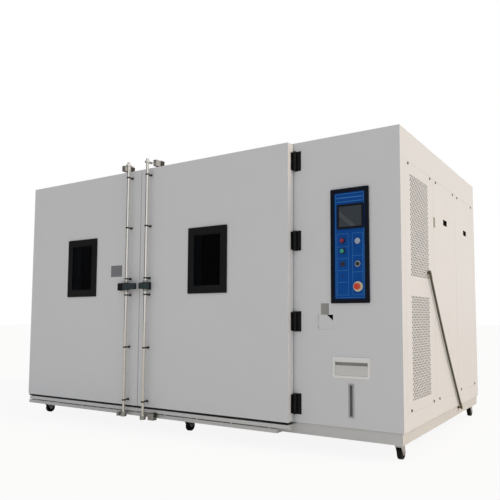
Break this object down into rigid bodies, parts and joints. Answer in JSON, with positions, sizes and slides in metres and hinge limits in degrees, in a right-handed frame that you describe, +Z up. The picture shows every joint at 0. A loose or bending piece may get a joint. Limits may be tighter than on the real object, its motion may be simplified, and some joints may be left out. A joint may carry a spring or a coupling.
{
  "type": "environmental test chamber",
  "caption": "Walk-in environmental test chamber: insulated box with two swing doors, lock rods and windows, and a machine compartment with a control panel, on casters.",
  "frame": {"origin": "on the floor, at the middle of the box round the chamber without its side cable", "axes": "+X to the right as seen from the front, +Y to the back, +Z up; the doors face -Y"},
  "size_m": [3.4574, 2.034, 2.044],
  "materials": {
    "white_coat": "semi-gloss powder coat",
    "stainless": "brushed",
    "foam": "rigid foam, cut faces",
    "seal_rubber": "matt",
    "black_metal": "satin",
    "black_plastic": "moulded, fine grain",
    "glass_pane": "clear, tinted by the dark inside",
    "blue_plate": "satin film",
    "screen": "gloss",
    "collar": "polished",
    "stop_red": "gloss",
    "lamp_green": "gloss",
    "button_red": "gloss",
    "grey_plastic": "satin",
    "white_plastic": "satin",
    "zinc": "zinc plate",
    "wheel_black": "moulded",
    "copper_black": "satin enamel",
    "cable_sheath": "matt sheath",
    "tank_plastic": "natural plastic"
  },
  "bodies": {
    "cabinet": {"base_frame": "white_coat", "door_sill": "white_coat", "chamber_shell": "white_coat", "chamber_insulation": "foam", "chamber_liner": "stainless", "front_frame": "white_coat", "air_plenum": "stainless", "machine_casing": "white_coat", "side_panel_vented": "white_coat", "side_panels_plain": "white_coat", "panel_grips": "black_plastic", "panel_screws": "black_metal", "front_panel": "white_coat", "back_panel": "white_coat", "drawer_frame": "white_plastic", "level_window": "grey_plastic", "hinge_fixed_leaves": "black_metal", "lock_keepers": "stainless", "refrigeration_unit": "copper_black", "electrical_panel": "zinc", "water_tank": "tank_plastic", "side_cable": "cable_sheath", "cable_fittings": "black_plastic", "control_bezel": "black_metal", "control_plate": "blue_plate", "touch_screen": "screen", "switch_collars": "collar", "caster_mounts": "zinc"},
    "left_door": {"left_door_skin": "white_coat", "left_door_core": "foam", "left_door_gasket": "seal_rubber", "left_window_frame": "black_metal", "left_window_glass": "glass_pane", "left_door_fittings": "black_metal"},
    "right_door": {"right_door_skin": "white_coat", "right_door_core": "foam", "right_door_gasket": "seal_rubber", "right_window_frame": "black_metal", "right_window_glass": "glass_pane", "right_door_fittings": "black_metal"},
    "left_lock": {"left_lock_rod": "stainless", "left_lock_handle": "black_plastic"},
    "right_lock": {"right_lock_rod": "stainless", "right_lock_handle": "black_plastic"},
    "service_flap": {"service_flap": "white_coat"},
    "fill_drawer": {"fill_drawer": "white_plastic"},
    "red_button": {"red_button": "button_red"},
    "green_button": {"green_button": "lamp_green"},
    "emergency_stop": {"emergency_stop": "stop_red"},
    "key_switch": {"key_switch": "collar"},
    "selector_switch": {"selector_switch": "black_plastic"},
    "circulation_fan": {"circulation_fan": "zinc"},
    "swivel_front_left": {"caster_fork_front_left": "zinc"},
    "swivel_front_right": {"caster_fork_front_right": "zinc"},
    "wheel_front_right": {"caster_wheel_front_right": "wheel_black"},
    "wheel_front_middle": {"caster_wheel_front_middle": "wheel_black"},
    "wheel_front_left": {"caster_wheel_front_left": "wheel_black"},
    "wheel_rear_right": {"caster_wheel_rear_right": "wheel_black"},
    "wheel_rear_middle": {"caster_wheel_rear_middle": "wheel_black"},
    "wheel_rear_left": {"caster_wheel_rear_left": "wheel_black"}
  },
  "joints": [
    {"name": "left_door_swing", "type": "hinge", "parent": "cabinet", "child": "left_door", "pos_m": [-1.69125, -0.892, 1], "axis": [0, 0, 1], "range_deg": [-110, 0]},
    {"name": "right_door_swing", "type": "hinge", "parent": "cabinet", "child": "right_door", "pos_m": [0.98375, -0.892, 1], "axis": [0, 0, 1], "range_deg": [0, 110]},
    {"name": "left_lock_turn", "type": "hinge", "parent": "left_door", "child": "left_lock", "pos_m": [-0.45325, -0.99, 1.075], "axis": [0, 0, 1], "range_deg": [-95, 0]},
    {"name": "right_lock_turn", "type": "hinge", "parent": "right_door", "child": "right_lock", "pos_m": [-0.25325, -0.99, 1.075], "axis": [0, 0, 1], "range_deg": [0, 95]},
    {"name": "service_flap_swing", "type": "hinge", "parent": "cabinet", "child": "service_flap", "pos_m": [1.14835, -0.8784, 0.809], "axis": [0, 0, 1], "range_deg": [-110, 0]},
    {"name": "fill_drawer_slide", "type": "slide", "parent": "cabinet", "child": "fill_drawer", "axis": [0, -1, 0], "range_m": [0, 0.15]},
    {"name": "red_button_press", "type": "slide", "parent": "cabinet", "child": "red_button", "axis": [0, 1, 0], "range_m": [0, 0.003], "stiffness_N_per_m": 600},
    {"name": "green_button_press", "type": "slide", "parent": "cabinet", "child": "green_button", "axis": [0, 1, 0], "range_m": [0, 0.003], "stiffness_N_per_m": 600},
    {"name": "emergency_stop_press", "type": "slide", "parent": "cabinet", "child": "emergency_stop", "axis": [0, 1, 0], "range_m": [0, 0.005]},
    {"name": "key_switch_turn", "type": "hinge", "parent": "cabinet", "child": "key_switch", "pos_m": [1.42475, -0.886, 1.306], "axis": [0, 1, 0], "range_deg": [0, 90]},
    {"name": "selector_switch_turn", "type": "hinge", "parent": "cabinet", "child": "selector_switch", "pos_m": [1.42475, -0.886, 1.165], "axis": [0, 1, 0], "range_deg": [-45, 45]},
    {"name": "circulation_fan_spin", "type": "hinge", "parent": "cabinet", "child": "circulation_fan", "pos_m": [0.79975, 0.024, 1.5], "axis": [1, 0, 0], "continuous": true},
    {"name": "caster_swivel_front_right", "type": "hinge", "parent": "cabinet", "child": "swivel_front_right", "pos_m": [1.63975, -0.794, 0.09], "axis": [0, 0, 1], "continuous": true},
    {"name": "caster_swivel_front_left", "type": "hinge", "parent": "cabinet", "child": "swivel_front_left", "pos_m": [-1.62025, -0.794, 0.09], "axis": [0, 0, 1], "continuous": true},
    {"name": "caster_roll_front_right", "type": "hinge", "parent": "swivel_front_right", "child": "wheel_front_right", "pos_m": [1.63975, -0.766, 0.0375], "axis": [1, 0, 0], "continuous": true},
    {"name": "caster_roll_front_middle", "type": "hinge", "parent": "cabinet", "child": "wheel_front_middle", "pos_m": [0.00975, -0.766, 0.0375], "axis": [1, 0, 0], "continuous": true},
    {"name": "caster_roll_front_left", "type": "hinge", "parent": "swivel_front_left", "child": "wheel_front_left", "pos_m": [-1.62025, -0.766, 0.0375], "axis": [1, 0, 0], "continuous": true},
    {"name": "caster_roll_rear_right", "type": "hinge", "parent": "cabinet", "child": "wheel_rear_right", "pos_m": [1.63975, 0.952, 0.0375], "axis": [1, 0, 0], "continuous": true},
    {"name": "caster_roll_rear_middle", "type": "hinge", "parent": "cabinet", "child": "wheel_rear_middle", "pos_m": [0.00975, 0.952, 0.0375], "axis": [1, 0, 0], "continuous": true},
    {"name": "caster_roll_rear_left", "type": "hinge", "parent": "cabinet", "child": "wheel_rear_left", "pos_m": [-1.62025, 0.952, 0.0375], "axis": [1, 0, 0], "continuous": true}
  ]
}
